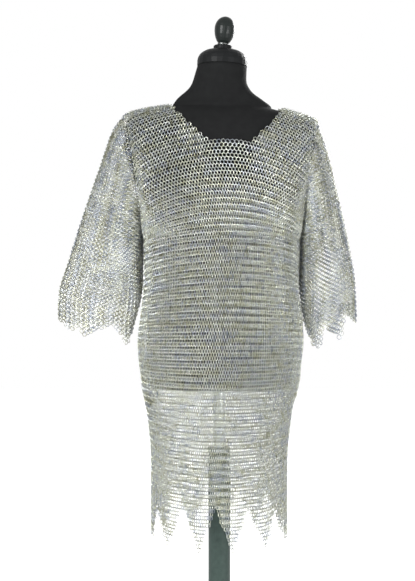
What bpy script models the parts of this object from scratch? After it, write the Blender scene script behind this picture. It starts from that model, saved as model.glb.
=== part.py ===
"""Chainmail hauberk on a limbless dress form, at its real size.

Metres, +Z up. The origin is the centre of the stand's underside, on the pole's axis, and the garment's
front faces -Y. Left and right are the wearer's, so the right sleeve is at -X.
"""

import math

import bmesh
import bpy
import numpy as np

COLLECTION_NAME = "chainmail_hauberk_on_dress_form"

# Linked rings lie tilted in the cloth, so the mail is a wall three wires thick
MAIL_WALL = 0.005
HALF_WALL = MAIL_WALL / 2
SEAM_HALF_GAP = 0.0005
MESH_GAP = 0.0003

# The body of the hauberk below the armholes, over the outside of its wall
BODY_SECTIONS = (
    # height, right_x, left_x, front_depth, back_depth
    (1.070, -0.1860, 0.1980, 0.130, 0.122),
    (1.000, -0.1845, 0.1950, 0.126, 0.118),
    (0.940, -0.1865, 0.1930, 0.123, 0.118),
    (0.879, -0.1930, 0.2020, 0.124, 0.126),
    (0.812, -0.2000, 0.2050, 0.126, 0.132),
    (0.773, -0.1978, 0.2007, 0.126, 0.132),
    (0.733, -0.1925, 0.1975, 0.125, 0.130),
    (0.694, -0.1875, 0.1905, 0.122, 0.127),
    (0.655, -0.1780, 0.1785, 0.119, 0.123),
    (0.615, -0.1720, 0.1725, 0.116, 0.119),
    (0.534, -0.1640, 0.1645, 0.113, 0.116),
    (0.448, -0.1630, 0.1635, 0.112, 0.114),
    (0.310, -0.1620, 0.1625, 0.113, 0.115),
)
BODY_ROUNDNESS = 2.25
UNDERARM_Z = BODY_SECTIONS[0][0]

# The hem is cut in pointed tongues, one valley beside the front's centre
RING_COLUMNS = 176
TONGUES = 11
TONGUE_COLUMNS = RING_COLUMNS // TONGUES
FIRST_TIP_COLUMN = 2
TONGUE_LENGTH = 0.100
HEM_SIDE_Z = 0.332
HEM_FRONT_DROP = 0.012
HEM_BACK_RISE = 0.003
FOLD_DEPTH = 0.0045
FOLD_TOP_Z = 0.760
OUTWARD_SPAN = 0.01

# The shoulder line, over the outside of the wall, and how full the yoke is below it
RIDGE_CROWN_Z = 1.404
RIDGE_ROUNDNESS_RIGHT = 1.30
RIDGE_ROUNDNESS_LEFT = 1.85
YOKE_FULLNESS = 2.8

# Necklines as (across, down): shares of the yoke's width from the right, and of the way down it
NECK_FRONT = (
    (0.225, 0.0), (0.265, 0.165), (0.330, 0.285), (0.430, 0.420),
    (0.655, 0.415), (0.745, 0.270), (0.805, 0.110), (0.825, 0.0),
)
NECK_BACK = ((0.225, 0.0), (0.315, 0.165), (0.735, 0.165), (0.825, 0.0))

# Sleeves hang from the armholes: the outer and inner line of each, in the middle of its wall
RIGHT_SLEEVE = (
    # outer_x, outer_z, inner_x, inner_z, half_depth, bow
    (-0.2350, 1.3675, -0.1896, 1.0700, 0.0660, 0.007),
    (-0.2600, 1.3340, -0.1890, 1.0450, 0.0650, 0.005),
    (-0.2900, 1.2510, -0.1885, 1.0050, 0.0610, 0.002),
    (-0.3150, 1.1800, -0.1890, 0.9650, 0.0560, 0.0),
    (-0.3495, 1.0780, -0.1925, 0.9250, 0.0510, 0.0),
    (-0.3700, 1.0110, -0.2010, 0.8880, 0.0480, 0.0),
    (-0.3925, 0.9390, -0.2110, 0.8500, 0.0460, 0.0),
    (-0.3955, 0.9000, -0.2150, 0.8230, 0.0460, 0.0),
    (-0.3960, 0.8350, -0.2170, 0.7880, 0.0470, 0.0),
)
LEFT_SLEEVE = (
    # outer_x, outer_z, inner_x, inner_z, half_depth, bow
    (0.2410, 1.3565, 0.2016, 1.0700, 0.0660, 0.007),
    (0.2485, 1.3300, 0.2002, 1.0450, 0.0670, 0.005),
    (0.2660, 1.2810, 0.1985, 1.0100, 0.0690, 0.002),
    (0.2825, 1.2080, 0.1975, 0.9750, 0.0720, 0.0),
    (0.2965, 1.1490, 0.1980, 0.9400, 0.0750, 0.0),
    (0.3080, 1.0970, 0.2025, 0.9080, 0.0770, 0.0),
    (0.3220, 1.0290, 0.2080, 0.8700, 0.0780, 0.0),
    (0.3325, 0.9600, 0.2110, 0.8350, 0.0780, 0.0),
    (0.3375, 0.8430, 0.2140, 0.7640, 0.0770, 0.0),
)

# The armholes in the body as (top_x, top_z, bottom_x, half_depth, bow), where the sleeves are linked on
RIGHT_ARMHOLE = (-0.2320, 1.3695, -0.1835, 0.0650, 0.007)
LEFT_ARMHOLE = (0.2380, 1.3585, 0.1955, 0.0650, 0.007)

# The cuffs' tongues as (degrees, height): the edge round each sleeve, from its outer line by the front
RIGHT_CUFF = (
    (-36, 0.852), (0, 0.880), (49, 0.839), (68, 0.848), (76, 0.822), (119, 0.857), (153, 0.800),
    (180, 0.850), (209, 0.806), (238, 0.858), (282, 0.828), (296, 0.852), (324, 0.852),
)
LEFT_CUFF = (
    (-16, 0.858), (1, 0.884), (18, 0.854), (62, 0.877), (77, 0.817), (110, 0.854), (126, 0.787),
    (178, 0.874), (232, 0.797), (252, 0.858), (284, 0.822), (303, 0.880), (344, 0.858),
)

# The dress form below the shoulders, where the mail hangs clear of it
FORM_SECTIONS = (
    # height, right_x, left_x, front_depth, back_depth
    (1.150, -0.1800, 0.1880, 0.1190, 0.1120),
    (1.060, -0.1740, 0.1810, 0.1150, 0.1070),
    (0.960, -0.1690, 0.1750, 0.1080, 0.1040),
    (0.880, -0.1760, 0.1830, 0.1120, 0.1130),
    (0.800, -0.1830, 0.1890, 0.1160, 0.1210),
    (0.740, -0.1820, 0.1850, 0.1150, 0.1200),
    (0.712, -0.1780, 0.1800, 0.1120, 0.1170),
    (0.701, -0.1690, 0.1710, 0.1050, 0.1100),
)
FORM_SIDES = 44
FORM_DROP = 0.0056
FORM_SLACK = 0.935
FORM_SIDE_GAP = 0.0045

# The form's shoulders, level by level, and how far their rounded ends reach out through the armholes
SHOULDER_ENDS = (
    # height, right_reach, left_reach
    (1.385, 0.000, 0.000),
    (1.377, 0.000, 0.000),
    (1.366, 0.000, 0.000),
    (1.352, 0.006, 0.003),
    (1.335, 0.015, 0.009),
    (1.310, 0.025, 0.015),
    (1.270, 0.030, 0.018),
    (1.215, 0.018, 0.010),
)
SHOULDER_END_SHARE = 0.75

# The form's neck, and the slope from it to the shoulders
NECK_SECTIONS = (
    # height, right_x, left_x, half_depth, roundness, lean_degrees
    (1.4905, -0.0536, 0.0680, 0.0605, 2.0, 2.0),
    (1.4780, -0.0575, 0.0673, 0.0604, 2.0, 1.5),
    (1.4660, -0.0613, 0.0670, 0.0600, 2.0, 1.0),
    (1.4465, -0.0670, 0.0667, 0.0590, 2.0, 0.0),
    (1.4340, -0.0760, 0.0755, 0.0580, 1.9, 0.0),
    (1.4235, -0.0885, 0.0830, 0.0575, 1.8, 0.0),
    (1.4130, -0.1035, 0.1000, 0.0570, 1.6, 0.0),
    (1.4030, -0.1120, 0.1150, 0.0540, 1.5, 0.0),
    (1.3905, -0.1160, 0.1290, 0.0500, 1.5, 0.0),
)

# The turned pieces on the neck: the finial leans further than the cap does
CAP_LEAN = math.radians(2.0)
FINIAL_LEAN = math.radians(6.5)
CAP_BASE = (0.0072, 0.0, 1.4905 + MESH_GAP)
CAP_RADIUS = 0.0618
CAP_RIM = 0.012
CAP_HEIGHT = 0.040
FLANGE_RADIUS = 0.023
FLANGE_TOP = 0.0505
FLANGE_CHAMFER = 0.002
COLLAR_RADIUS = 0.0135
COLLAR_HEIGHT = 0.0035
EGG_RADIUS = 0.0252
EGG_FOOT_RADIUS = 0.0122
EGG_LOWER = 0.043
EGG_UPPER = 0.029

# The stand
ROD_RADIUS = 0.015
TUBE_RADIUS = 0.027
TUBE_TOP_Z = 0.554
BASE_RADIUS = 0.190
BASE_THICKNESS = 0.012
ROD_ROUNDING = 0.0008
TUBE_ROUNDING = 0.002
BASE_ROUNDING = 0.003

# How finely the pieces are faceted
PANEL_COLUMNS = 44
YOKE_ROWS = 9
YOKE_CROWDING = 1.75
SKIRT_ROWS = 10
SLEEVE_ROWS = 12
SLEEVE_FACET = 16
DOME_STEPS = 6
EGG_STEPS = 12
TURNED_STEPS = 28
UPRIGHT_SIDES = 32
RIM_SEGMENTS = 2
CREASE_ANGLE = math.radians(40)
CURVE_SAMPLES = 91
LINE_SAMPLES = 161
LEVEL_SAMPLES = 61


def smooth(knots, values, at):
    """Curve through a table's rows that never swings past them."""
    knots = np.asarray(knots, dtype=float)
    values = np.asarray(values, dtype=float)
    if knots[0] > knots[-1]:
        knots, values = knots[::-1], values[::-1]
    steps = np.diff(knots)
    slopes = np.diff(values) / steps
    tangents = np.empty(len(knots))
    tangents[0], tangents[-1] = slopes[0], slopes[-1]
    before, after = slopes[:-1], slopes[1:]
    same_way = before * after > 0
    total = np.where(same_way, before + after, 1.0)
    tangents[1:-1] = np.where(same_way, 2 * before * after / total, 0.0)
    at = np.clip(np.asarray(at, dtype=float), knots[0], knots[-1])
    cell = np.clip(np.searchsorted(knots, at, side="right") - 1, 0, len(steps) - 1)
    u = (at - knots[cell]) / steps[cell]
    start = values[cell] * (1 + 2 * u) * (1 - u) ** 2 + tangents[cell] * steps[cell] * u * (1 - u) ** 2
    end = values[cell + 1] * u**2 * (3 - 2 * u) + tangents[cell + 1] * steps[cell] * u**2 * (u - 1)
    return start + end


def along(curve, share):
    """Points at shares of a curve's length."""
    lengths = np.linalg.norm(np.diff(curve, axis=0), axis=1)
    reached = np.concatenate(([0.0], np.cumsum(lengths)))
    target = np.asarray(share) * reached[-1]
    return np.stack([np.interp(target, reached, curve[:, axis]) for axis in range(3)], axis=-1)


def armhole_edge(armhole, face):
    """Front (face -1) or back (face 1) edge of an armhole, from its top to the underarm."""
    top_x, top_z, bottom_x, half_depth, bow = armhole
    turn = np.linspace(0, math.pi, CURVE_SAMPLES)
    x = (top_x + bottom_x) / 2 + (top_x - bottom_x) / 2 * np.cos(turn)
    x = x - math.copysign(bow, top_x) * np.sin(turn) ** 2
    y = face * (SEAM_HALF_GAP + half_depth * np.sin(turn))
    z = (top_z + UNDERARM_Z) / 2 + (top_z - UNDERARM_Z) / 2 * np.cos(turn)
    return np.stack([x, y, z], axis=-1)


def yoke_crown(face):
    """Middle line of the yoke, from the shoulder line down to the underarm's height."""
    turn = np.linspace(0, math.pi / 2, CURVE_SAMPLES)
    depth = BODY_SECTIONS[0][3 if face < 0 else 4] - HALF_WALL
    rise = RIDGE_CROWN_Z - HALF_WALL - UNDERARM_Z
    y = face * (SEAM_HALF_GAP + depth * np.sin(turn) ** (2 / YOKE_FULLNESS))
    z = UNDERARM_Z + rise * np.cos(turn) ** (2 / YOKE_FULLNESS)
    return np.stack([np.zeros_like(y), y, z], axis=-1)


def yoke_row(face, down):
    """One level of the yoke, armhole to armhole, at a share of the way down it."""
    right = along(armhole_edge(RIGHT_ARMHOLE, face), down)
    left = along(armhole_edge(LEFT_ARMHOLE, face), down)
    crown = along(yoke_crown(face), down)
    turn = np.linspace(0, math.pi, CURVE_SAMPLES)
    roundness = 2 + (BODY_ROUNDNESS - 2) * down
    across = np.sign(np.cos(turn)) * np.abs(np.cos(turn)) ** (2 / roundness)
    bulge = np.sin(turn).clip(0) ** (2 / roundness)
    ridge_roundness = (RIDGE_ROUNDNESS_RIGHT + RIDGE_ROUNDNESS_LEFT) / 2
    ridge_roundness = ridge_roundness + (RIDGE_ROUNDNESS_RIGHT - RIDGE_ROUNDNESS_LEFT) / 2 * np.cos(turn)
    arch = np.sin(turn).clip(0) ** ridge_roundness
    x = (right[0] + left[0]) / 2 + (right[0] - left[0]) / 2 * across
    edge_y = right[1]
    edge_z = (right[2] + left[2]) / 2 + (right[2] - left[2]) / 2 * across
    return np.stack([x, edge_y + (crown[1] - edge_y) * bulge, edge_z + (crown[2] - edge_z) * arch], axis=-1)


def body_row(face, down):
    """One level of the body, side to side, at a share of the way from underarm to hem."""
    heights = [row[0] for row in BODY_SECTIONS]
    turn = np.linspace(0, math.pi, CURVE_SAMPLES)
    bulge = np.sin(turn).clip(0) ** (2 / BODY_ROUNDNESS)
    hem_z = HEM_SIDE_Z + (-HEM_FRONT_DROP if face < 0 else HEM_BACK_RISE) * bulge
    z = UNDERARM_Z + (hem_z - UNDERARM_Z) * down
    right, left, front, back = (smooth(heights, [row[i] for row in BODY_SECTIONS], z) for i in range(1, 5))
    right, left = right + HALF_WALL, left - HALF_WALL
    depth = (front if face < 0 else back) - HALF_WALL
    across = np.sign(np.cos(turn)) * np.abs(np.cos(turn)) ** (2 / BODY_ROUNDNESS)
    x = (right + left) / 2 + (right - left) / 2 * across
    return np.stack([x, face * (SEAM_HALF_GAP + depth * bulge), z], axis=-1)


def ring_column(face, across):
    """Column of rings, counted from the right side by the front, at a share across a panel."""
    half = RING_COLUMNS / 2
    return half * across if face < 0 else RING_COLUMNS - half * across


def tongue_phase(column):
    """1 at the point of a tongue and 0 in the valley between two."""
    offset = (column - FIRST_TIP_COLUMN) % TONGUE_COLUMNS
    return np.abs(offset / (TONGUE_COLUMNS / 2) - 1)


def body_point(face, across, down):
    """Middle of the wall below the armholes, with the skirt's folds."""
    row = body_row(face, down)
    point = along(row, across)
    near = along(row, [max(across - OUTWARD_SPAN, 0), min(across + OUTWARD_SPAN, 1)])
    run = near[1] - near[0]
    outward = np.array([run[1], -run[0], 0.0]) * (1 if face < 0 else -1)
    if across in (0, 1):
        outward[:] = (2 * across - 1, 0, 0)
    outward /= np.linalg.norm(outward)
    column = ring_column(face, across)
    wave = math.cos(2 * math.pi * (column - FIRST_TIP_COLUMN) / TONGUE_COLUMNS)
    reach = max(0.0, (FOLD_TOP_Z - point[2]) / (FOLD_TOP_Z - HEM_SIDE_Z))
    return point + outward * FOLD_DEPTH * wave * reach


def shell(name, points, closed_round, material):
    """Wall of mail from a grid of points in its middle, given its thickness by Solidify."""
    rows, columns = len(points), len(points[0])
    mesh = bpy.data.meshes.new(name)
    grid = bmesh.new()
    verts = [[grid.verts.new(point) for point in row] for row in points]
    last = columns if closed_round else columns - 1
    for i in range(rows - 1):
        for j in range(last):
            k = (j + 1) % columns
            grid.faces.new((verts[i][j], verts[i + 1][j], verts[i + 1][k], verts[i][k]))
    grid.to_mesh(mesh)
    grid.free()
    mesh.shade_smooth()
    wall = place(bpy.data.objects.new(name, mesh), material)
    solidify = wall.modifiers.new("Wall", "SOLIDIFY")
    solidify.thickness = MAIL_WALL
    solidify.offset = 0
    return wall


def panel_grid(face, neckline):
    """Points of the front or back, from neckline and armholes to the pointed hem."""
    neck_across = [row[0] for row in neckline]
    neck_down = [row[1] for row in neckline]
    marks = [0, *(round(across * PANEL_COLUMNS) for across in neck_across), PANEL_COLUMNS]
    top_across = np.interp(np.arange(PANEL_COLUMNS + 1), marks, [0.0, *neck_across, 1.0])
    top_down = np.interp(top_across, neck_across, neck_down, left=0.0, right=0.0)
    longest = UNDERARM_Z - HEM_SIDE_Z
    grid = []
    for i in range(YOKE_ROWS):
        share = (i / YOKE_ROWS) ** YOKE_CROWDING
        row = []
        for j in range(PANEL_COLUMNS + 1):
            down = top_down[j] + (1 - top_down[j]) * share
            across = top_across[j] + (j / PANEL_COLUMNS - top_across[j]) * down
            row.append(along(yoke_row(face, down), across))
        grid.append(row)
    for i in range(SKIRT_ROWS + 1):
        row = []
        for j in range(PANEL_COLUMNS + 1):
            across = j / PANEL_COLUMNS
            valley = TONGUE_LENGTH * (1 - tongue_phase(ring_column(face, across)))
            row.append(body_point(face, across, (1 - valley / longest) * i / SKIRT_ROWS))
        grid.append(row)
    return grid if face < 0 else [row[::-1] for row in grid]


def sleeve_point(sleeve, angle, station):
    """Middle of a sleeve's wall, at an angle from its outer line by the front."""
    stations = np.arange(len(sleeve))
    columns = [smooth(stations, [row[i] for row in sleeve], station) for i in range(6)]
    outer_x, outer_z, inner_x, inner_z, half_depth, bow = columns
    cosine, sine = np.cos(np.radians(angle)), np.sin(np.radians(angle))
    x = (outer_x + inner_x) / 2 + (outer_x - inner_x) / 2 * cosine
    x = x - np.sign(outer_x) * bow * sine**2
    z = (outer_z + inner_z) / 2 + (outer_z - inner_z) / 2 * cosine
    return np.stack([x, -half_depth * sine, z], axis=-1)


def sleeve_grid(sleeve, cuff):
    """Points of one sleeve, from its armhole to the points and valleys of its cuff."""
    angles = []
    heights = []
    for (start, start_z), (end, end_z) in zip(cuff, cuff[1:]):
        pieces = math.ceil((end - start) / SLEEVE_FACET)
        for step in range(pieces):
            angles.append(start + (end - start) * step / pieces)
            heights.append(start_z + (end_z - start_z) * step / pieces)
    samples = np.linspace(0, len(sleeve) - 1, LINE_SAMPLES)
    grid = []
    ends = []
    for angle, height in zip(angles, heights):
        line = sleeve_point(sleeve, angle, samples)
        ends.append(np.interp(-height, -line[:, 2], samples))
    for i in range(SLEEVE_ROWS + 1):
        share = i / SLEEVE_ROWS
        grid.append([sleeve_point(sleeve, angle, end * share) for angle, end in zip(angles, ends)])
    return grid if sleeve[0][0] > 0 else [row[::-1] for row in grid]


def make_mail(materials):
    """The four pieces that a mail maker would link up."""
    rings = materials["mail_rings"]
    shell("mail_front", panel_grid(-1, NECK_FRONT), False, rings)
    shell("mail_back", panel_grid(1, NECK_BACK), False, rings)
    shell("mail_sleeve_right", sleeve_grid(RIGHT_SLEEVE, RIGHT_CUFF), True, rings)
    shell("mail_sleeve_left", sleeve_grid(LEFT_SLEEVE, LEFT_CUFF), True, rings)


def yoke_cut(face, height):
    """Where a level plane cuts the yoke's front or back, from right to left."""
    shares = np.linspace(0, 1, LEVEL_SAMPLES)
    rows = np.array([along(yoke_row(face, down), shares) for down in shares])
    ridge_z = rows[0, :, 2]
    inside = ridge_z >= height
    cut = []
    for j in np.flatnonzero(inside):
        column = rows[:, j]
        order = np.argsort(column[:, 2])
        cut.append([np.interp(height, column[order, 2], column[order, axis]) for axis in range(2)])
    first, last = np.flatnonzero(inside)[[0, -1]]
    middle = LEVEL_SAMPLES // 2
    if first > 0:
        right_x = np.interp(height, ridge_z[:middle], rows[0, :middle, 0])
        cut.insert(0, [right_x, face * SEAM_HALF_GAP])
    if last < LEVEL_SAMPLES - 1:
        left_x = np.interp(height, ridge_z[: middle : -1], rows[0, : middle : -1, 0])
        cut.append([left_x, face * SEAM_HALF_GAP])
    return np.array(cut)


def armhole_reach(armhole, height):
    """Distance from the armhole's middle to its front or back edge at one height."""
    top_z, half_depth = armhole[1], armhole[3]
    share = (2 * height - top_z - UNDERARM_Z) / (top_z - UNDERARM_Z)
    return half_depth * math.sqrt(max(1 - share**2, 0.0))


def shoulder_section(height, right_reach, left_reach):
    """Section of the form just inside the mail at one height, with the ends of its shoulders."""
    front = yoke_cut(-1, height + FORM_DROP)
    back = yoke_cut(1, height + FORM_DROP)[::-1]
    outline = np.concatenate([front, back, front[:1]]) * [1.0, FORM_SLACK]
    centre = (outline[:, 0].max() + outline[:, 0].min()) / 2
    reach = (outline[:, 0].max() - outline[:, 0].min()) / 2
    outline[:, 0] = centre + (outline[:, 0] - centre) * (1 - FORM_SIDE_GAP / reach)
    points = np.column_stack([outline, np.full(len(outline), height)])
    section = along(points, np.arange(FORM_SIDES) / FORM_SIDES)
    for armhole, reach in ((RIGHT_ARMHOLE, right_reach), (LEFT_ARMHOLE, left_reach)):
        side = math.copysign(1, armhole[0])
        half_width = SHOULDER_END_SHARE * armhole_reach(armhole, height)
        if reach > 0:
            swell = np.clip(1 - (section[:, 1] / half_width) ** 2, 0, None)
            section[:, 0] += side * reach * swell * (section[:, 0] * side > 0)
    return section


def table_section(right, left, front, back, height):
    """Rounded section of the form, from its right side by the front."""
    turn = np.linspace(0, 2 * math.pi, 4 * CURVE_SAMPLES + 1)
    across = np.sign(np.cos(turn)) * np.abs(np.cos(turn)) ** (2 / BODY_ROUNDNESS)
    bulge = np.sign(np.sin(turn)) * np.abs(np.sin(turn)) ** (2 / BODY_ROUNDNESS)
    x = (right + left) / 2 + (right - left) / 2 * across
    y = -np.where(bulge > 0, front, back) * bulge
    outline = np.column_stack([x, y, np.full(len(x), height)])
    return along(outline, np.arange(FORM_SIDES) / FORM_SIDES)


def neck_section(height, right_x, left_x, half_depth, roundness, lean_degrees):
    """Section of the neck, tipped with its lean and pointed at the sides where it meets the shoulders."""
    turn = np.linspace(0, 2 * math.pi, 4 * CURVE_SAMPLES + 1)
    across = np.sign(np.cos(turn)) * np.abs(np.cos(turn)) ** (2 / roundness)
    bulge = np.sign(np.sin(turn)) * np.abs(np.sin(turn)) ** (2 / roundness)
    x = (left_x - right_x) / 2 * across
    outline = np.column_stack([-x, -half_depth * bulge, height + x * math.tan(math.radians(lean_degrees))])
    return along(outline, np.arange(FORM_SIDES) / FORM_SIDES) + [(left_x + right_x) / 2, 0, 0]


def make_form(materials):
    """The torso and neck of the form, one closed body lofted up its height."""
    sections = [neck_section(*row) for row in NECK_SECTIONS]
    sections += [shoulder_section(*row) for row in SHOULDER_ENDS]
    sections += [table_section(right, left, front, back, z) for z, right, left, front, back in FORM_SECTIONS]
    mesh = bpy.data.meshes.new("form_torso")
    body = bmesh.new()
    rings = [[body.verts.new(point) for point in section] for section in sections]
    for upper, lower in zip(rings, rings[1:]):
        for j in range(FORM_SIDES):
            k = (j + 1) % FORM_SIDES
            body.faces.new((upper[j], lower[j], lower[k], upper[k]))
    body.faces.new(rings[0])
    body.faces.new(rings[-1][::-1])
    bmesh.ops.recalc_face_normals(body, faces=body.faces)
    body.to_mesh(mesh)
    body.free()
    mesh.shade_smooth()
    mesh.set_sharp_from_angle(angle=CREASE_ANGLE)
    place(bpy.data.objects.new("form_torso", mesh), materials["form_cover"])


def turned(name, profile, base, lean, material):
    """Piece turned round a leaning axis, from a profile that runs down its outer side."""
    mesh = bpy.data.meshes.new(name)
    points = [(radius, 0.0, z) for radius, z in profile]
    edges = [(i, i + 1) for i in range(len(profile) - 1)]
    mesh.from_pydata(points, edges, [])
    piece = place(bpy.data.objects.new(name, mesh), material)
    piece.location = base
    piece.rotation_euler = (0.0, lean, 0.0)
    screw = piece.modifiers.new("Turned", "SCREW")
    screw.steps = TURNED_STEPS
    screw.render_steps = TURNED_STEPS
    screw.use_merge_vertices = True
    screw.merge_threshold = 0.00005
    screw.use_smooth_shade = True
    return piece


def up_axis(base, height, lean):
    """Point at a height along a leaning axis."""
    return (base[0] + height * math.sin(lean), base[1], base[2] + height * math.cos(lean))


def make_finial(materials):
    """The domed cap on the neck, its bright collar and the egg on top."""
    dome = []
    for step in range(DOME_STEPS + 1):
        turn = math.pi / 2 * step / DOME_STEPS
        radius = FLANGE_RADIUS + (CAP_RADIUS - FLANGE_RADIUS) * math.sin(turn)
        dome.append((radius, CAP_RIM + (CAP_HEIGHT - CAP_RIM) * math.cos(turn)))
    flange = [
        (0.0, FLANGE_TOP),
        (FLANGE_RADIUS - FLANGE_CHAMFER, FLANGE_TOP),
        (FLANGE_RADIUS, FLANGE_TOP - FLANGE_CHAMFER),
    ]
    cap = [*flange, *dome, (CAP_RADIUS, 0.0), (0.0, 0.0)]
    turned("neck_cap", cap, CAP_BASE, CAP_LEAN, materials["cap_paint"])
    collar = [(0.0, COLLAR_HEIGHT), (COLLAR_RADIUS, COLLAR_HEIGHT), (COLLAR_RADIUS, 0.0), (0.0, 0.0)]
    tilt_clearance = COLLAR_RADIUS * math.tan(FINIAL_LEAN - CAP_LEAN)
    collar_base = up_axis(CAP_BASE, FLANGE_TOP + MESH_GAP + tilt_clearance, CAP_LEAN)
    turned("finial_collar", collar, collar_base, FINIAL_LEAN, materials["collar_metal"])
    foot_turn = math.acos(EGG_FOOT_RADIUS / EGG_RADIUS)
    egg = []
    for step in range(EGG_STEPS + 1):
        turn = math.pi / 2 - (math.pi / 2 + foot_turn) * step / EGG_STEPS
        reach = EGG_UPPER if turn > 0 else EGG_LOWER
        egg.append((EGG_RADIUS * math.cos(turn), EGG_LOWER + reach * math.sin(turn)))
    foot_z = egg[-1][1]
    side = [(radius, z - foot_z) for radius, z in egg[1:]]
    egg = [(0.0, EGG_LOWER + EGG_UPPER - foot_z), *side, (0.0, 0.0)]
    egg_base = up_axis(collar_base, COLLAR_HEIGHT + MESH_GAP, FINIAL_LEAN)
    turned("finial_egg", egg, egg_base, FINIAL_LEAN, materials["finial_lacquer"])


def upright(name, radius, bottom, top, rounding, material):
    """Round upright piece on the pole's axis, with its rims rounded."""
    bpy.ops.mesh.primitive_cylinder_add(
        vertices=UPRIGHT_SIDES,
        radius=radius,
        depth=top - bottom,
        location=(0, 0, (top + bottom) / 2),
    )
    piece = bpy.context.object
    piece.name = name
    piece.data.name = name
    bevel = piece.modifiers.new("Rim", "BEVEL")
    bevel.width = rounding
    bevel.segments = RIM_SEGMENTS
    bevel.limit_method = "ANGLE"
    piece.data.shade_smooth()
    piece.data.set_sharp_from_angle(angle=CREASE_ANGLE)
    for collection in list(piece.users_collection):
        collection.objects.unlink(piece)
    place(piece, material)


def make_stand(materials):
    """The pole with its slimmer rod into the form, and the round foot."""
    rod_bottom = TUBE_TOP_Z + MESH_GAP
    rod_top = FORM_SECTIONS[-1][0] - MESH_GAP
    tube_bottom = BASE_THICKNESS + MESH_GAP
    paint = materials["stand_paint"]
    upright("pole_rod", ROD_RADIUS, rod_bottom, rod_top, ROD_ROUNDING, materials["rod_metal"])
    upright("pole_tube", TUBE_RADIUS, tube_bottom, TUBE_TOP_Z, TUBE_ROUNDING, paint)
    upright("base_plate", BASE_RADIUS, 0.0, BASE_THICKNESS, BASE_ROUNDING, paint)


def place(piece, material):
    """Put a piece in the object's collection with its material."""
    bpy.data.collections[COLLECTION_NAME].objects.link(piece)
    piece.data.materials.clear()
    piece.data.materials.append(material)
    return piece


def make_materials():
    """Plain finishes: colour, roughness and metallic value of each."""
    finishes = {
        "mail_rings": ((0.36, 0.37, 0.34), 0.45, 0.9),
        "form_cover": ((0.012, 0.012, 0.012), 0.55, 0.0),
        "cap_paint": ((0.012, 0.012, 0.012), 0.4, 0.0),
        "collar_metal": ((0.42, 0.42, 0.42), 0.35, 1.0),
        "finial_lacquer": ((0.02, 0.022, 0.022), 0.3, 0.0),
        "rod_metal": ((0.25, 0.26, 0.26), 0.4, 0.8),
        "stand_paint": ((0.03, 0.036, 0.034), 0.5, 0.0),
    }
    materials = {}
    for name, (colour, roughness, metallic) in finishes.items():
        material = bpy.data.materials.new(name)
        material.use_nodes = True
        shader = material.node_tree.nodes["Principled BSDF"]
        shader.inputs["Base Color"].default_value = (*colour, 1.0)
        shader.inputs["Roughness"].default_value = roughness
        shader.inputs["Metallic"].default_value = metallic
        materials[name] = material
    return materials


def main():
    for piece in list(bpy.data.objects):
        bpy.data.objects.remove(piece, do_unlink=True)
    bpy.context.scene.collection.children.link(bpy.data.collections.new(COLLECTION_NAME))
    materials = make_materials()
    make_mail(materials)
    make_form(materials)
    make_finial(materials)
    make_stand(materials)


main()
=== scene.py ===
"""Looks of a chainmail hauberk on a limbless dress form: linked steel rings, black form and stand.

Metres, +Z up. The garment's front faces -Y. Left and right are the wearer's: the right sleeve is at -X.
"""

import math

import bmesh
import bpy
import numpy as np
from mathutils import Matrix, Vector


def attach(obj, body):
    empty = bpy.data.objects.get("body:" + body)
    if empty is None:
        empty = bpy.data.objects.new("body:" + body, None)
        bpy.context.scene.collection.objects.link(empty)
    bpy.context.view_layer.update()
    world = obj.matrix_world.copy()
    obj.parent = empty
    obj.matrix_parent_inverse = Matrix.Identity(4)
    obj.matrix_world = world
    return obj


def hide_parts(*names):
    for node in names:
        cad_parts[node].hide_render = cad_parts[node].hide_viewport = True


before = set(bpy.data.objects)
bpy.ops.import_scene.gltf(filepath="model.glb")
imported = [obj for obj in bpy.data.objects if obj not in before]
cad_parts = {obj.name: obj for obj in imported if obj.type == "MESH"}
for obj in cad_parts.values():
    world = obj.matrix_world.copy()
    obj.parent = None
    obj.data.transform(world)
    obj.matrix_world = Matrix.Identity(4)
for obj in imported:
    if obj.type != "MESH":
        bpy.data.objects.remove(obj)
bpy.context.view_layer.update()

# Lights aim at the middle of the garment; the camera stands level, a little to the wearer's right.
# Lens and film are in millimetres, and the floor lies just under the foot
LIT_PLACE = (0, 0, 1.0)
CAMERA_PLACE = (-0.029, -2.8, 0.939)
CAMERA_LENS = 70.5
FILM_WIDTH = 36
FLOOR_SIZE = 16
FLOOR_Z = -0.0005

# Rings of 1.6 mm wire, 9 mm inside. The wire is three-sided, so its corners reach past its real radius.
# A ring leans over its neighbour by RING_STACK, and laid flat it takes up RING_CLOTH_AREA. LEAN_LIMIT is
# the sine of the steepest lean, RING_EDGE keeps rings clear of a cut, and RING_REST lifts them off the
# wall's middle
RING_RADIUS = 0.0056
WIRE_RADIUS = 0.00093
RING_SIDES = 6
WIRE_SIDES = 3
RING_STACK = 0.0036
LEAN_LIMIT = 0.7
LEAN_SPREAD = math.radians(3)
PLACE_SPREAD = 0.0002
COIL_RINGS = 12
# How far tones of wire differ, as (from coil to coil, from ring to ring)
BODY_TONES = (0.07, 0.15)
# The sleeves' wider spread also darkens their rings on the whole, as the ramp is darker at both ends:
# painted shade on the sleeves, on top of tones that differ at random
SLEEVE_TONES_AND_SHADE = (0.26, 0.18)
RING_EDGE = 0.0045
RING_REST = 0.0004
SEED = 11

# How the form's shape is taken over: points closer than WELD are one, triangles that bend and skew less
# than this are joined to quads, and edges sharper than CUT_EDGE stay
WELD = 0.00002
QUAD_BEND = math.radians(40)
QUAD_SKEW = math.radians(70)
CUT_EDGE = math.radians(50)

# The wall of mail that the rings lie in
MAIL_WALL = 0.005
HALF_WALL = MAIL_WALL / 2
SEAM_HALF_GAP = 0.0005

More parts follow.
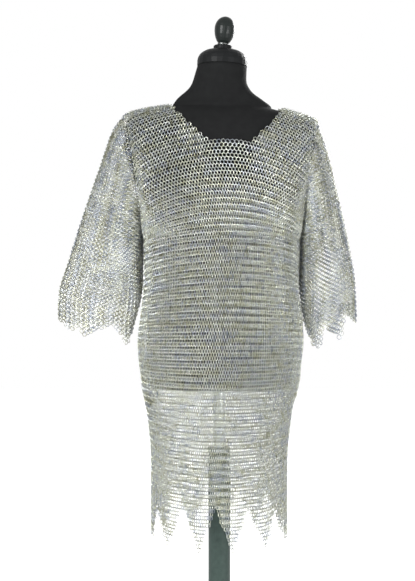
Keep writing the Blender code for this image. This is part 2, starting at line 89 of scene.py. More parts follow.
# The body below the armholes, over the outside of its wall
BODY_SECTIONS = (
    # height, right_x, left_x, front_depth, back_depth
    (1.070, -0.1860, 0.1980, 0.130, 0.122),
    (1.000, -0.1845, 0.1950, 0.126, 0.118),
    (0.940, -0.1865, 0.1930, 0.123, 0.118),
    (0.879, -0.1930, 0.2020, 0.124, 0.126),
    (0.812, -0.2000, 0.2050, 0.126, 0.132),
    (0.773, -0.1978, 0.2007, 0.126, 0.132),
    (0.733, -0.1925, 0.1975, 0.125, 0.130),
    (0.694, -0.1875, 0.1905, 0.122, 0.127),
    (0.655, -0.1780, 0.1785, 0.119, 0.123),
    (0.615, -0.1720, 0.1725, 0.116, 0.119),
    (0.534, -0.1640, 0.1645, 0.113, 0.116),
    (0.448, -0.1630, 0.1635, 0.112, 0.114),
    (0.310, -0.1620, 0.1625, 0.113, 0.115),
)
BODY_ROUNDNESS = 2.25
UNDERARM_Z = BODY_SECTIONS[0][0]

# The hem's pointed tongues and the skirt's folds
RING_COLUMNS = 176
HALF_COLUMNS = RING_COLUMNS // 2
TONGUES = 11
TONGUE_COLUMNS = RING_COLUMNS // TONGUES
FIRST_TIP_COLUMN = 2
TONGUE_LENGTH = 0.100
HEM_SIDE_Z = 0.332
HEM_FRONT_DROP = 0.012
HEM_BACK_RISE = 0.003
FOLD_DEPTH = 0.0045
FOLD_TOP_Z = 0.760
OUTWARD_SPAN = 0.01
BODY_LENGTH = UNDERARM_Z - HEM_SIDE_Z

# The yoke from the shoulder line down to the underarm
RIDGE_CROWN_Z = 1.404
RIDGE_ROUNDNESS_RIGHT = 1.30
RIDGE_ROUNDNESS_LEFT = 1.85
YOKE_FULLNESS = 2.8
YOKE_LENGTH = 0.39

# Necklines as (across, down): shares of the yoke's width from the right, and of the way down it
NECK_FRONT = (
    (0.225, 0.0), (0.265, 0.165), (0.330, 0.285), (0.430, 0.420),
    (0.655, 0.415), (0.745, 0.270), (0.805, 0.110), (0.825, 0.0),
)
NECK_BACK = ((0.225, 0.0), (0.315, 0.165), (0.735, 0.165), (0.825, 0.0))

# Below the front neckline the rings are pulled apart sideways, and their rows close up
STRETCH_PLACE = (0.54, 0.41)
STRETCH_REACH = (0.13, 0.16)
STRETCH = 0.42
STRETCH_RISE = 0.006

# The armholes as (top_x, top_z, bottom_x, half_depth, bow)
RIGHT_ARMHOLE = (-0.2320, 1.3695, -0.1835, 0.0650, 0.007)
LEFT_ARMHOLE = (0.2380, 1.3585, 0.1955, 0.0650, 0.007)

# Sleeves hang from the armholes: the outer and inner line of each, in the middle of its wall
RIGHT_SLEEVE = (
    # outer_x, outer_z, inner_x, inner_z, half_depth, bow
    (-0.2350, 1.3675, -0.1896, 1.0700, 0.0660, 0.007),
    (-0.2600, 1.3340, -0.1890, 1.0450, 0.0650, 0.005),
    (-0.2900, 1.2510, -0.1885, 1.0050, 0.0610, 0.002),
    (-0.3150, 1.1800, -0.1890, 0.9650, 0.0560, 0.0),
    (-0.3495, 1.0780, -0.1925, 0.9250, 0.0510, 0.0),
    (-0.3700, 1.0110, -0.2010, 0.8880, 0.0480, 0.0),
    (-0.3925, 0.9390, -0.2110, 0.8500, 0.0460, 0.0),
    (-0.3955, 0.9000, -0.2150, 0.8230, 0.0460, 0.0),
    (-0.3960, 0.8350, -0.2170, 0.7880, 0.0470, 0.0),
)
LEFT_SLEEVE = (
    # outer_x, outer_z, inner_x, inner_z, half_depth, bow
    (0.2410, 1.3565, 0.2016, 1.0700, 0.0660, 0.007),
    (0.2485, 1.3300, 0.2002, 1.0450, 0.0670, 0.005),
    (0.2660, 1.2810, 0.1985, 1.0100, 0.0690, 0.002),
    (0.2825, 1.2080, 0.1975, 0.9750, 0.0720, 0.0),
    (0.2965, 1.1490, 0.1980, 0.9400, 0.0750, 0.0),
    (0.3080, 1.0970, 0.2025, 0.9080, 0.0770, 0.0),
    (0.3220, 1.0290, 0.2080, 0.8700, 0.0780, 0.0),
    (0.3325, 0.9600, 0.2110, 0.8350, 0.0780, 0.0),
    (0.3375, 0.8430, 0.2140, 0.7640, 0.0770, 0.0),
)

# The cuffs' tongues as (degrees, height): the edge round each sleeve, from its outer line by the front
RIGHT_CUFF = (
    (-36, 0.852), (0, 0.880), (49, 0.839), (68, 0.848), (76, 0.822), (119, 0.857), (153, 0.800),
    (180, 0.850), (209, 0.806), (238, 0.858), (282, 0.828), (296, 0.852), (324, 0.852),
)
LEFT_CUFF = (
    (-16, 0.858), (1, 0.884), (18, 0.854), (62, 0.877), (77, 0.817), (110, 0.854), (126, 0.787),
    (178, 0.874), (232, 0.797), (252, 0.858), (284, 0.822), (303, 0.880), (344, 0.858),
)

# Courses of rings, and the lines of rings down a sleeve. At the shoulders the yoke is SHOULDER_TRIM columns
# narrower at each side, and from TRIM_START of the way down it widens to the body's columns
FRONT_YOKE_COURSES = 50
BACK_YOKE_COURSES = 51
BODY_COURSES = 89
UPPER_BODY_COURSES = 26
SHOULDER_TRIM = 14
TRIM_START = 0.55
SLEEVE_LINE_GAP = 0.0066
SLEEVE_STATIONS = (0.0, 1.5, 4.0)
SLEEVE_PITCHES = (0.0092, 0.0098, 0.0112)

# Rows sag at the sides at the underarm and rise there in the skirt, by levels down from the shoulder line
SIDE_SAG = 0.038
SAG_LEVELS = (0.04, 0.34, 0.46, 0.68, 0.92)
SAG_SHARES = (0.0, 1.0, 1.0, 0.0, -0.65)
RISEN_COURSES = 4

# Over the belly the rings lie wider apart towards the right side than towards the left
SIDE_SKEW = 0.20
SKEW_LEVELS = (0.20, 0.39, 0.80, 0.97)
SKEW_SHARES = (0.0, 1.0, 1.0, 0.0)

# How finely surfaces are sampled, and how far to either side a direction on them is read
CURVE_SAMPLES = 91
LINE_SAMPLES = 161
ACROSS_SAMPLES = 201
LEVEL_SAMPLES = 81
ACROSS_REACH = 0.006
LEVEL_REACH = 0.003
ANGLE_REACH = 1.5
LINE_REACH = 0.004
PAST_HEM = 0.06

# Scales of patterns. A noise has about this many patches to the metre, and a wave's bands lie 314 mm apart
# divided by its scale: spots of zinc 2.4 mm, lint 18 mm, ribs of jersey 1.2 mm, marks of a tool 0.35 mm
ZINC_SPOTS = 420.0
JERSEY_LINT = 55.0
JERSEY_RIBS = 260.0
TOOL_MARKS = 900.0
# How much rougher or smoother the marks make bare metal
MARK_SPREAD = 0.08

# Sockets of a Mix node that mixes colours, which share their names with its other sockets
MIX_LOW = 6
MIX_HIGH = 7
MIX_COLOUR = 2


def smooth(knots, values, at):
    """Curve through a table's rows that never swings past them."""
    knots = np.asarray(knots, dtype=float)
    values = np.asarray(values, dtype=float)
    if knots[0] > knots[-1]:
        knots, values = knots[::-1], values[::-1]
    steps = np.diff(knots)
    slopes = np.diff(values) / steps
    tangents = np.empty(len(knots))
    tangents[0], tangents[-1] = slopes[0], slopes[-1]
    before, after = slopes[:-1], slopes[1:]
    same_way = before * after > 0
    total = np.where(same_way, before + after, 1.0)
    tangents[1:-1] = np.where(same_way, 2 * before * after / total, 0.0)
    at = np.clip(np.asarray(at, dtype=float), knots[0], knots[-1])
    cell = np.clip(np.searchsorted(knots, at, side="right") - 1, 0, len(steps) - 1)
    u = (at - knots[cell]) / steps[cell]
    start = values[cell] * (1 + 2 * u) * (1 - u) ** 2 + tangents[cell] * steps[cell] * u * (1 - u) ** 2
    end = values[cell + 1] * u**2 * (3 - 2 * u) + tangents[cell + 1] * steps[cell] * u**2 * (u - 1)
    return start + end


def reached(curve):
    """Length of a curve up to each of its points."""
    return np.concatenate(([0.0], np.cumsum(np.linalg.norm(np.diff(curve, axis=0), axis=1))))


def between(at, knots, rows):
    """Rows of three numbers read off between knots."""
    return np.stack([np.interp(at, knots, rows[:, axis]) for axis in range(3)], axis=-1)


def along(curve, share):
    """Points at shares of a curve's length."""
    lengths = reached(curve)
    return between(np.asarray(share) * lengths[-1], lengths, curve)


def unit(vectors):
    """The same directions, one long."""
    return vectors / np.linalg.norm(vectors, axis=-1, keepdims=True)


def armhole_edge(armhole, face):
    """Front (face -1) or back (face 1) edge of an armhole, from its top to the underarm."""
    top_x, top_z, bottom_x, half_depth, bow = armhole
    turn = np.linspace(0, math.pi, CURVE_SAMPLES)
    x = (top_x + bottom_x) / 2 + (top_x - bottom_x) / 2 * np.cos(turn)
    x = x - math.copysign(bow, top_x) * np.sin(turn) ** 2
    y = face * (SEAM_HALF_GAP + half_depth * np.sin(turn))
    z = (top_z + UNDERARM_Z) / 2 + (top_z - UNDERARM_Z) / 2 * np.cos(turn)
    return np.stack([x, y, z], axis=-1)


def yoke_crown(face):
    """Middle line of the yoke, from the shoulder line down to the underarm's height."""
    turn = np.linspace(0, math.pi / 2, CURVE_SAMPLES)
    depth = BODY_SECTIONS[0][3 if face < 0 else 4] - HALF_WALL
    rise = RIDGE_CROWN_Z - HALF_WALL - UNDERARM_Z
    y = face * (SEAM_HALF_GAP + depth * np.sin(turn) ** (2 / YOKE_FULLNESS))
    z = UNDERARM_Z + rise * np.cos(turn) ** (2 / YOKE_FULLNESS)
    return np.stack([np.zeros_like(y), y, z], axis=-1)


def yoke_row(face, down):
    """One level of the yoke, armhole to armhole, at a share of the way down it."""
    right = along(armhole_edge(RIGHT_ARMHOLE, face), down)
    left = along(armhole_edge(LEFT_ARMHOLE, face), down)
    crown = along(yoke_crown(face), down)
    turn = np.linspace(0, math.pi, CURVE_SAMPLES)
    roundness = 2 + (BODY_ROUNDNESS - 2) * down
    across = np.sign(np.cos(turn)) * np.abs(np.cos(turn)) ** (2 / roundness)
    bulge = np.sin(turn).clip(0) ** (2 / roundness)
    ridge_roundness = (RIDGE_ROUNDNESS_RIGHT + RIDGE_ROUNDNESS_LEFT) / 2
    ridge_roundness = ridge_roundness + (RIDGE_ROUNDNESS_RIGHT - RIDGE_ROUNDNESS_LEFT) / 2 * np.cos(turn)
    arch = np.sin(turn).clip(0) ** ridge_roundness
    x = (right[0] + left[0]) / 2 + (right[0] - left[0]) / 2 * across
    edge_y = right[1]
    edge_z = (right[2] + left[2]) / 2 + (right[2] - left[2]) / 2 * across
    return np.stack([x, edge_y + (crown[1] - edge_y) * bulge, edge_z + (crown[2] - edge_z) * arch], axis=-1)


def body_row(face, down):
    """One level of the body, side to side, at a share of the way from underarm to hem."""
    heights = [row[0] for row in BODY_SECTIONS]
    turn = np.linspace(0, math.pi, CURVE_SAMPLES)
    bulge = np.sin(turn).clip(0) ** (2 / BODY_ROUNDNESS)
    hem_z = HEM_SIDE_Z + (-HEM_FRONT_DROP if face < 0 else HEM_BACK_RISE) * bulge
    z = UNDERARM_Z + (hem_z - UNDERARM_Z) * down
    right, left, front, back = (smooth(heights, [row[i] for row in BODY_SECTIONS], z) for i in range(1, 5))
    right, left = right + HALF_WALL, left - HALF_WALL
    depth = (front if face < 0 else back) - HALF_WALL
    across = np.sign(np.cos(turn)) * np.abs(np.cos(turn)) ** (2 / BODY_ROUNDNESS)
    x = (right + left) / 2 + (right - left) / 2 * across
    return np.stack([x, face * (SEAM_HALF_GAP + depth * bulge), z], axis=-1)


def ring_column(face, across):
    """Column of rings, counted from the right side by the front, at a share across a panel."""
    return HALF_COLUMNS * across if face < 0 else RING_COLUMNS - HALF_COLUMNS * across


def tongue_phase(column):
    """1 at the point of a tongue and 0 in the valley between two."""
    offset = (column - FIRST_TIP_COLUMN) % TONGUE_COLUMNS
    return np.abs(offset / (TONGUE_COLUMNS / 2) - 1)


def body_surface(face, across, down):
    """Points below the armholes at shares across one level, with the skirt's folds."""
    across = np.clip(across, 0, 1)
    row = body_row(face, down)
    points = along(row, across)
    run = along(row, np.minimum(across + OUTWARD_SPAN, 1)) - along(row, np.maximum(across - OUTWARD_SPAN, 0))
    outward = np.stack([-face * run[:, 1], face * run[:, 0], np.zeros(len(run))], axis=-1)
    column = ring_column(face, across)
    wave = np.cos(2 * math.pi * (column - FIRST_TIP_COLUMN) / TONGUE_COLUMNS)
    reach = np.clip((FOLD_TOP_Z - points[:, 2]) / (FOLD_TOP_Z - HEM_SIDE_Z), 0, None)
    return points + unit(outward) * (FOLD_DEPTH * wave * reach)[:, None]


def sleeve_surface(sleeve, angle, station):
    """Middle of a sleeve's wall, at an angle from its outer line by the front."""
    stations = np.arange(len(sleeve))
    columns = [smooth(stations, [row[i] for row in sleeve], station) for i in range(6)]
    outer_x, outer_z, inner_x, inner_z, half_depth, bow = columns
    cosine, sine = np.cos(np.radians(angle)), np.sin(np.radians(angle))
    x = (outer_x + inner_x) / 2 + (outer_x - inner_x) / 2 * cosine
    x = x - np.sign(outer_x) * bow * sine**2
    z = (outer_z + inner_z) / 2 + (outer_z - inner_z) / 2 * cosine
    return np.stack([x, -half_depth * sine, z], axis=-1)


def leaning(pitch):
    """How far rings lean over their neighbours in a row, for a spacing along it."""
    return np.arcsin(np.minimum(RING_STACK / pitch, LEAN_LIMIT))


def woven(face):
    """The front or back: levels down from the shoulder line, and its points at even shares across them."""
    across = np.linspace(0, 1, ACROSS_SAMPLES)
    shares = np.linspace(0, 1, LEVEL_SAMPLES)
    yoke = [along(yoke_row(face, down), across) for down in shares]
    body = [body_surface(face, across, down) for down in shares[1:]]
    levels = np.concatenate((shares * YOKE_LENGTH, YOKE_LENGTH + shares[1:] * BODY_LENGTH))
    grid = np.array(yoke + body)
    past_hem = grid[-1] + (grid[-1] - grid[-2]) * PAST_HEM / (levels[-1] - levels[-2])
    return np.append(levels, levels[-1] + PAST_HEM), np.concatenate((grid, past_hem[None]))


def sagged(across, level):
    """Levels that rows really lie at, at shares across."""
    return level + np.interp(level, SAG_LEVELS, SAG_SHARES) * SIDE_SAG * (2 * across - 1) ** 2


def hung(panel, across, level):
    """Points of a panel at shares across and at its rows' levels."""
    levels, grid = panel
    row = np.interp(sagged(across, level), levels, np.arange(len(levels)))
    across = across + np.interp(level, SKEW_LEVELS, SKEW_SHARES) * SIDE_SKEW * across * (1 - across)
    column = np.clip(across, 0, 1) * (ACROSS_SAMPLES - 1)
    i = np.minimum(row.astype(int), len(levels) - 2)
    j = np.minimum(column.astype(int), ACROSS_SAMPLES - 2)
    u, v = (row - i)[:, None], (column - j)[:, None]
    upper = grid[i, j] * (1 - v) + grid[i, j + 1] * v
    lower = grid[i + 1, j] * (1 - v) + grid[i + 1, j + 1] * v
    return upper * (1 - u) + lower * u


def course(panel, face, across, level, way, kept):
    """Rings of one course of the front or back: places, row directions, outward directions and leans."""
    ahead, behind = np.minimum(across + ACROSS_REACH, 1), np.maximum(across - ACROSS_REACH, 0)
    level = level + np.zeros(len(across))
    places = hung(panel, across, level)
    run = -face * (hung(panel, ahead, level) - hung(panel, behind, level))
    fall = hung(panel, across, level + LEVEL_REACH) - hung(panel, across, level - LEVEL_REACH)
    outward = unit(np.cross(fall, run))
    pitch = np.linalg.norm(run, axis=1) / (ahead - behind) * np.gradient(across)
    columns = (places + outward * RING_REST, unit(run), outward, way * leaning(pitch))
    return tuple(column[kept] for column in columns)


def pulled(across, down):
    """How far the neckline's pull moves rings, as shares across, and their rise in metres."""
    off_x = (across - STRETCH_PLACE[0]) / STRETCH_REACH[0]
    off_z = (down - STRETCH_PLACE[1]) / STRETCH_REACH[1]
    fade = np.exp(-(off_x**2) - off_z**2)
    return STRETCH * (across - STRETCH_PLACE[0]) * fade, STRETCH_RISE * fade


def yoke_courses(face, panel):
    """The yoke's courses, shoulder line to underarm, cut away at the neckline."""
    total = FRONT_YOKE_COURSES if face < 0 else BACK_YOKE_COURSES
    neckline = np.array(NECK_FRONT if face < 0 else NECK_BACK)
    courses = []
    for number in range(total):
        down = (number + 0.5) / total
        odd = (total - number) % 2
        stagger = 0.5 * odd
        widening = min(max((down - TRIM_START) / (1 - TRIM_START), 0.0), 1.0)
        trim = SHOULDER_TRIM * (1 - widening**2 * (3 - 2 * widening))
        first, last = math.ceil(trim - stagger), math.floor(HALF_COLUMNS - trim - stagger)
        columns = np.arange(first, last + 1) + stagger
        across = (columns - trim) / (HALF_COLUMNS - 2 * trim)
        rise = np.zeros(len(across))
        if face < 0:
            sideways, rise = pulled(across, down)
            across = across + sideways
        edge = np.interp(across, neckline[:, 0], neckline[:, 1], left=0.0, right=0.0)
        edge = np.where(edge > 0, edge + RING_EDGE / YOKE_LENGTH, 0.0)
        level = down * YOKE_LENGTH - rise
        kept = level > edge * YOKE_LENGTH
        if kept.any():
            courses.append(course(panel, face, across, level, 1 - 2 * odd, kept))
    return courses


def body_courses(face, panel, first, last):
    """Courses of the body below the armholes, cut to tongues at the hem."""
    courses = []
    for number in range(first, last):
        down = (number + 0.5) / BODY_COURSES
        odd = number % 2
        columns = np.arange(HALF_COLUMNS) + 0.5 * odd
        if face > 0 and not odd:
            columns = columns + 1
        across = columns / HALF_COLUMNS
        level = YOKE_LENGTH + down * BODY_LENGTH
        left_below = YOKE_LENGTH + BODY_LENGTH - sagged(across, level)
        valley = TONGUE_LENGTH * (1 - tongue_phase(ring_column(face, across)))
        kept = left_below > valley + RING_EDGE * (valley > RING_EDGE)
        if kept.any():
            courses.append(course(panel, face, across, level, 1 - 2 * odd, kept))
    return courses


def sleeve_courses(sleeve, cuff):
    """Lines of rings down a sleeve, evenly apart from its outer line round to the inner one."""
    side = np.sign(sleeve[0][0])
    cuff_angles = [row[0] for row in cuff]
    cuff_heights = [row[1] for row in cuff]
    stations = np.linspace(0, len(sleeve) - 1, LINE_SAMPLES)
    half_turn = np.linspace(0, 180, CURVE_SAMPLES)
    pitches = np.interp(stations, SLEEVE_STATIONS, SLEEVE_PITCHES)
    courses = []
    for way in (1, -1):
        wall = sleeve_surface(sleeve, way * half_turn[None, :], stations[:, None])
        around = np.array([reached(level) for level in wall])
        for number in range(0 if way > 0 else 1, math.ceil(around[:, -1].max() / SLEEVE_LINE_GAP)):
            offset = number * SLEEVE_LINE_GAP
            angle = way * np.array([np.interp(offset, level, half_turn) for level in around])
            line = sleeve_surface(sleeve, angle, stations)
            beside = sleeve_surface(sleeve, angle + ANGLE_REACH, stations)
            beside = beside - sleeve_surface(sleeve, angle - ANGLE_REACH, stations)
            lengths = reached(line)
            odd = number % 2
            counted = np.concatenate(([0.0], np.cumsum(np.diff(lengths) / pitches[1:])))
            wanted = np.arange(int(counted[-1])) + 0.5 + 0.5 * odd
            distance = np.interp(counted[-1] - wanted[wanted < counted[-1]], counted, lengths)
            places = between(distance, lengths, line)
            run = between(distance + LINE_REACH, lengths, line)
            run = unit(run - between(distance - LINE_REACH, lengths, line))
            outward = unit(np.cross(run, between(distance, lengths, beside))) * side
            here = (np.interp(distance, lengths, angle) - cuff_angles[0]) % 360 + cuff_angles[0]
            edge = np.interp(here, cuff_angles, cuff_heights)
            room = np.interp(distance, lengths, around[:, -1]) - offset
            kept = (places[:, 2] > edge + RING_EDGE) & (room > 0)
            lean = (1 - 2 * odd) * leaning(np.interp(distance[kept], lengths, pitches))
            courses.append((places[kept] + outward[kept] * RING_REST, run[kept], outward[kept], lean))
    return courses


def colour(code):
    """Linear RGBA from an sRGB hex code."""
    values = [int(code[i : i + 2], 16) / 255 for i in (1, 3, 5)]
    return (*(v / 12.92 if v <= 0.04045 else ((v + 0.055) / 1.055) ** 2.4 for v in values), 1.0)


def add_node(tree, kind, settings=None, links=None):
    """A node with its settings, and its inputs linked to other nodes' outputs or given values."""
    node = tree.nodes.new(kind)
    for name, value in (settings or {}).items():
        setattr(node, name, value)
    for name, source in (links or {}).items():
        if isinstance(source, bpy.types.NodeSocket):
            tree.links.new(source, node.inputs[name])
        else:
            node.inputs[name].default_value = source
    return node


def new_material(name, **values):
    """Material with values set on its shader, its tree, the shader and the object's coordinates."""
    material = bpy.data.materials.new(name)
    material.use_nodes = True
    tree = material.node_tree
    shader = tree.nodes["Principled BSDF"]
    for socket, value in values.items():
        shader.inputs[socket.replace("_", " ")].default_value = value
    place = add_node(tree, "ShaderNodeTexCoord").outputs["Object"]
    return material, tree, shader, place


def ring_steel():
    """Galvanised steel wire, drawn and dipped: each ring its own grey, blue-grey or khaki.

    Spots of thicker zinc are duller, so light breaks up along a ring.
    """
    material, tree, shader, place = new_material("galvanised_steel_wire", Metallic=1.0)
    tone = add_node(tree, "ShaderNodeAttribute", {"attribute_name": "tone"}).outputs["Fac"]
    ramp = add_node(tree, "ShaderNodeValToRGB", None, {"Fac": tone})
    shades = ((0.0, "#6f6f5a"), (0.25, "#9fa08c"), (0.5, "#babdb4"), (0.75, "#a0a5ac"), (1.0, "#6c7582"))
    for position, code in shades[1:-1]:
        ramp.color_ramp.elements.new(position)
    for element, (position, code) in zip(ramp.color_ramp.elements, shades):
        element.position = position
        element.color = colour(code)
    spots = add_node(tree, "ShaderNodeTexNoise", None, {"Vector": place, "Scale": ZINC_SPOTS, "Detail": 3.0})
    dulling = add_node(
        tree,
        "ShaderNodeMapRange",
        None,
        {"Value": spots.outputs["Fac"], "From Min": 0.35, "From Max": 0.7, "To Min": 0.24, "To Max": 0.45},
    )
    tree.links.new(ramp.outputs["Color"], shader.inputs["Base Color"])
    tree.links.new(dulling.outputs["Result"], shader.inputs["Roughness"])
    return material


def form_jersey():
    """Black cotton jersey, knitted and drawn tight over the form: matt, with a little lint.

    Its ribs are finer than a pixel of the main view, so they show only from close by.
    """
    finish = {"Roughness": 0.85, "Specular_IOR_Level": 0.08}
    material, tree, shader, place = new_material("black_cotton_jersey", **finish)
    stitches = add_node(
        tree,
        "ShaderNodeTexWave",
        {"bands_direction": "X"},
        {"Vector": place, "Scale": JERSEY_RIBS, "Distortion": 1.5, "Detail": 2.0, "Detail Scale": 2.0},
    )
    lint = add_node(tree, "ShaderNodeTexNoise", None, {"Vector": place, "Scale": JERSEY_LINT, "Detail": 6.0})
    shades = add_node(
        tree,
        "ShaderNodeMix",
        {"data_type": "RGBA"},
        {"Factor": lint.outputs["Fac"], MIX_LOW: colour("#0b0b0c"), MIX_HIGH: colour("#141515")},
    )
    bump = add_node(
        tree,
        "ShaderNodeBump",
        None,
        {"Height": stitches.outputs["Fac"], "Strength": 0.3, "Distance": 0.0006},
    )
    tree.links.new(shades.outputs[MIX_COLOUR], shader.inputs["Base Color"])
    tree.links.new(bump.outputs["Normal"], shader.inputs["Normal"])
    return material


def painted(name, low, high, roughness, grain, gloss):
    """Paint or lacquer over a turned or drawn piece: a slightly uneven film.

    grain is how many thicker patches there are to the metre: 25 to 90, so they are 40 to 11 mm.
    """
    material, tree, shader, place = new_material(name, Roughness=roughness, Specular_IOR_Level=gloss)
    mottle = add_node(tree, "ShaderNodeTexNoise", None, {"Vector": place, "Scale": grain, "Detail": 5.0})
    shades = add_node(
        tree,
        "ShaderNodeMix",
        {"data_type": "RGBA"},
        {"Factor": mottle.outputs["Fac"], MIX_LOW: colour(low), MIX_HIGH: colour(high)},
    )
    bump = add_node(
        tree, "ShaderNodeBump", None, {"Height": mottle.outputs["Fac"], "Strength": 0.12, "Distance": 0.0005}
    )
    tree.links.new(shades.outputs[MIX_COLOUR], shader.inputs["Base Color"])
    tree.links.new(bump.outputs["Normal"], shader.inputs["Normal"])
    return material


def brushed(name, low, high, roughness):
    """Bare metal with fine marks round its axis from turning or drawing.

    The marks are finer than a pixel of the main view, where they only spread the gloss.
    """
    material, tree, shader, place = new_material(name, Metallic=1.0)
    marks = add_node(
        tree,
        "ShaderNodeTexWave",
        {"bands_direction": "Z"},
        {"Vector": place, "Scale": TOOL_MARKS, "Distortion": 3.0, "Detail": 3.0},
    )
    shades = add_node(
        tree,
        "ShaderNodeMix",
        {"data_type": "RGBA"},
        {"Factor": marks.outputs["Fac"], MIX_LOW: colour(low), MIX_HIGH: colour(high)},
    )
    rough = add_node(
        tree,
        "ShaderNodeMapRange",
        None,
        {
            "Value": marks.outputs["Fac"],
            "To Min": roughness - MARK_SPREAD,
            "To Max": roughness + MARK_SPREAD,
        },
    )
    tree.links.new(shades.outputs[MIX_COLOUR], shader.inputs["Base Color"])
    tree.links.new(rough.outputs["Result"], shader.inputs["Roughness"])
    return material


def studio_paper():
    """White background paper of the studio floor: matt, and lit so evenly that it shows no edge."""
    material, _, shader, _ = new_material("studio_paper", Roughness=0.9)
    shader.inputs["Base Color"].default_value = colour("#b0b0b0")
    shader.inputs["Emission Color"].default_value = colour("#ffffff")
    shader.inputs["Emission Strength"].default_value = 0.6
    return material


def only(piece):
    """Select one piece and make it active, so that operators act on it alone."""
    bpy.ops.object.select_all(action="DESELECT")
    bpy.context.view_layer.objects.active = piece
    piece.select_set(True)


def make_ring():
    """One wire ring, which every piece of mail repeats."""
    bpy.ops.object.select_all(action="DESELECT")
    bpy.ops.mesh.primitive_torus_add(
        major_radius=RING_RADIUS,
        minor_radius=WIRE_RADIUS,
        major_segments=RING_SIDES,
        minor_segments=WIRE_SIDES,
    )
    ring = bpy.context.object
    ring.name = "wire_ring"
    ring.data.transform(Matrix.Rotation(math.pi / RING_SIDES, 4, "Z"))
    ring.data.shade_smooth()
    return ring


def linking(ring, material):
    """Geometry nodes that put a ring on every point, turned by its own attribute, and join them."""
    tree = bpy.data.node_groups.new("linked_rings", "GeometryNodeTree")
    tree.interface.new_socket("Geometry", in_out="INPUT", socket_type="NodeSocketGeometry")
    tree.interface.new_socket("Geometry", in_out="OUTPUT", socket_type="NodeSocketGeometry")
    points = add_node(tree, "NodeGroupInput").outputs[0]
    shape = add_node(tree, "GeometryNodeObjectInfo", None, {"Object": ring}).outputs["Geometry"]
    turn = add_node(tree, "GeometryNodeInputNamedAttribute", {"data_type": "QUATERNION"}, {"Name": "turn"})
    rings = add_node(
        tree,
        "GeometryNodeInstanceOnPoints",
        None,
        {"Points": points, "Instance": shape, "Rotation": turn.outputs["Attribute"]},
    )
    joined = add_node(tree, "GeometryNodeRealizeInstances", None, {"Geometry": rings.outputs["Instances"]})
    finished = add_node(
        tree, "GeometryNodeSetMaterial", None, {"Geometry": joined.outputs["Geometry"], "Material": material}
    )
    end = add_node(tree, "NodeGroupOutput")
    tree.links.new(finished.outputs["Geometry"], end.inputs[0])
    return tree


def coil_tones(count, spread, chance):
    """Tones of a course's rings, which were cut from one coil of wire after another."""
    coils = chance.normal(0.5, spread, count // COIL_RINGS + 2)
    return coils[(np.arange(count) + chance.integers(COIL_RINGS)) // COIL_RINGS]


def make_mail(name, courses, nodes, spreads, chance):
    """One piece of mail: its rings set out as points with a turn and a tone, then linked and joined."""
    places, run, outward, lean = (np.concatenate(columns) for columns in zip(*courses))
    count = len(places)
    coils = np.concatenate([coil_tones(len(row[0]), spreads[0], chance) for row in courses])
    places = places + chance.normal(0, PLACE_SPREAD, (count, 3))
    angle = lean + chance.normal(0, LEAN_SPREAD, count)
    nod = chance.normal(0, LEAN_SPREAD, count)
    fall = np.cross(outward, run)
    leant = outward * np.cos(angle)[:, None] + run * np.sin(angle)[:, None]
    axis = unit(leant + fall * np.sin(nod)[:, None])
    side = unit(run - axis * (run * axis).sum(axis=1, keepdims=True))
    third = np.cross(axis, side)
    turns = []
    for columns in zip(side, third, axis):
        quaternion = Matrix(columns).transposed().to_quaternion()
        turns.extend(quaternion)
    mesh = bpy.data.meshes.new(name)
    mesh.from_pydata(places.tolist(), [], [])
    mesh.attributes.new("turn", "QUATERNION", "POINT").data.foreach_set("value", turns)
    tones = np.clip(coils + chance.normal(0, spreads[1], count), 0, 1)
    mesh.attributes.new("tone", "FLOAT", "POINT").data.foreach_set("value", tones)
    piece = bpy.data.objects.new(name, mesh)
    bpy.context.collection.objects.link(piece)
    links = piece.modifiers.new("Links", "NODES")
    links.node_group = nodes
    only(piece)
    bpy.ops.object.modifier_apply(modifier=links.name)
    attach(piece, "root")
    return piece, count


def make_hauberk():
    """The six pieces of linked rings that stand for the four walls of mail."""
    ring = make_ring()
    steel = ring_steel()
    nodes = linking(ring, steel)
    chance = np.random.default_rng(SEED)
    front, back = woven(-1), woven(1)
    last = BODY_COURSES + RISEN_COURSES
    front_upper = yoke_courses(-1, front) + body_courses(-1, front, 0, UPPER_BODY_COURSES)
    back_upper = yoke_courses(1, back) + body_courses(1, back, 0, UPPER_BODY_COURSES)
    parts = (
        ("mail_front_upper", front_upper, "mail_front"),
        ("mail_front_lower", body_courses(-1, front, UPPER_BODY_COURSES, last), "mail_front"),
        ("mail_back_upper", back_upper, "mail_back"),
        ("mail_back_lower", body_courses(1, back, UPPER_BODY_COURSES, last), "mail_back"),
        ("mail_sleeve_right_rings", sleeve_courses(RIGHT_SLEEVE, RIGHT_CUFF), "mail_sleeve_right"),
        ("mail_sleeve_left_rings", sleeve_courses(LEFT_SLEEVE, LEFT_CUFF), "mail_sleeve_left"),
    )
    for name, courses, node in parts:
        # On the sleeves the wider spread of tones makes the rings darker on the whole: painted shade
        spreads = SLEEVE_TONES_AND_SHADE if "sleeve" in name else BODY_TONES
        piece, count = make_mail(name, courses, nodes, spreads, chance)
        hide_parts(node)
    bpy.data.objects.remove(ring, do_unlink=True)


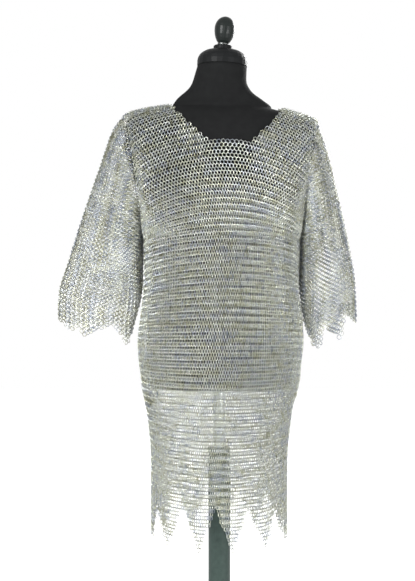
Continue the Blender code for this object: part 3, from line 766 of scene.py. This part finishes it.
def smoothed_form(material):
    """Finer copy of the form, smooth but for its cut edges, shown in its place."""
    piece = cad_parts["form_torso"].copy()
    piece.data = piece.data.copy()
    piece.name = "form_torso_jersey"
    for key in list(piece.keys()):
        del piece[key]
    bpy.context.collection.objects.link(piece)
    shape = bmesh.new()
    shape.from_mesh(piece.data)
    bmesh.ops.remove_doubles(shape, verts=shape.verts, dist=WELD)
    bmesh.ops.join_triangles(
        shape, faces=shape.faces, angle_face_threshold=QUAD_BEND, angle_shape_threshold=QUAD_SKEW
    )
    crease = shape.edges.layers.float.new("crease_edge")
    for edge in shape.edges:
        edge[crease] = float(edge.calc_face_angle(0.0) > CUT_EDGE)
    shape.to_mesh(piece.data)
    shape.free()
    finer = piece.modifiers.new("Finer", "SUBSURF")
    finer.levels = 1
    finer.render_levels = 1
    only(piece)
    bpy.ops.object.convert(target="MESH")
    piece.data.shade_smooth()
    piece.data.set_sharp_from_angle(angle=CUT_EDGE)
    piece.data.materials.clear()
    piece.data.materials.append(material)
    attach(piece, "root")
    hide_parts("form_torso")


def dress_stand():
    """Form, cap, finial, pole and foot in their own finishes."""
    smoothed_form(form_jersey())
    finishes = {
        "neck_cap": painted("black_painted_wood", "#0b0c0c", "#151617", 0.45, 40.0, 0.06),
        "finial_egg": painted("black_lacquered_wood", "#0e1110", "#181c1b", 0.34, 30.0, 0.12),
        "finial_collar": brushed("turned_aluminium", "#3f4140", "#5c5e5d", 0.36),
        "pole_rod": brushed("drawn_steel_tube", "#a9adac", "#c8cbca", 0.3),
        "pole_tube": painted("green_black_enamel", "#232d2a", "#34403c", 0.42, 90.0, 0.12),
        "base_plate": painted("green_black_enamel_plate", "#1d2321", "#293130", 0.45, 25.0, 0.2),
    }
    for node, material in finishes.items():
        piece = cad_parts[node]
        piece.data.materials.clear()
        piece.data.materials.append(material)


def make_studio():
    """Pale floor and room, soft lights, and the camera."""
    camera = bpy.data.objects.new("camera", bpy.data.cameras.new("camera"))
    camera.location = CAMERA_PLACE
    camera.rotation_euler = (math.radians(90), 0, 0)
    camera.data.lens = CAMERA_LENS
    camera.data.sensor_width = FILM_WIDTH
    bpy.context.collection.objects.link(camera)
    bpy.context.scene.camera = camera

    bpy.ops.object.select_all(action="DESELECT")
    bpy.ops.mesh.primitive_plane_add(size=FLOOR_SIZE, location=(0, 0, FLOOR_Z))
    floor = bpy.context.object
    floor.name = "floor"
    floor.data.materials.append(studio_paper())

    world = bpy.data.worlds.new("studio")
    world.use_nodes = True
    background = world.node_tree.nodes["Background"]
    background.inputs["Color"].default_value = colour("#ffffff")
    background.inputs["Strength"].default_value = 1.0
    bpy.context.scene.world = world

    lights = (
        # name, place, size, watts
        ("key_light", (-2.0, -3.0, 1.9), 1.2, 215),
        ("fill_light", (2.4, -2.6, 1.0), 1.2, 112),
        ("back_light", (1.8, 3.0, 2.6), 1.4, 150),
    )
    for name, place, size, power in lights:
        light = bpy.data.objects.new(name, bpy.data.lights.new(name, "AREA"))
        light.data.size = size
        light.data.energy = power
        light.location = place
        light.rotation_euler = (Vector(place) - Vector(LIT_PLACE)).to_track_quat("Z", "Y").to_euler()
        bpy.context.collection.objects.link(light)
    bpy.context.scene.view_settings.view_transform = "Standard"


make_studio()
make_hauberk()
dress_stand()
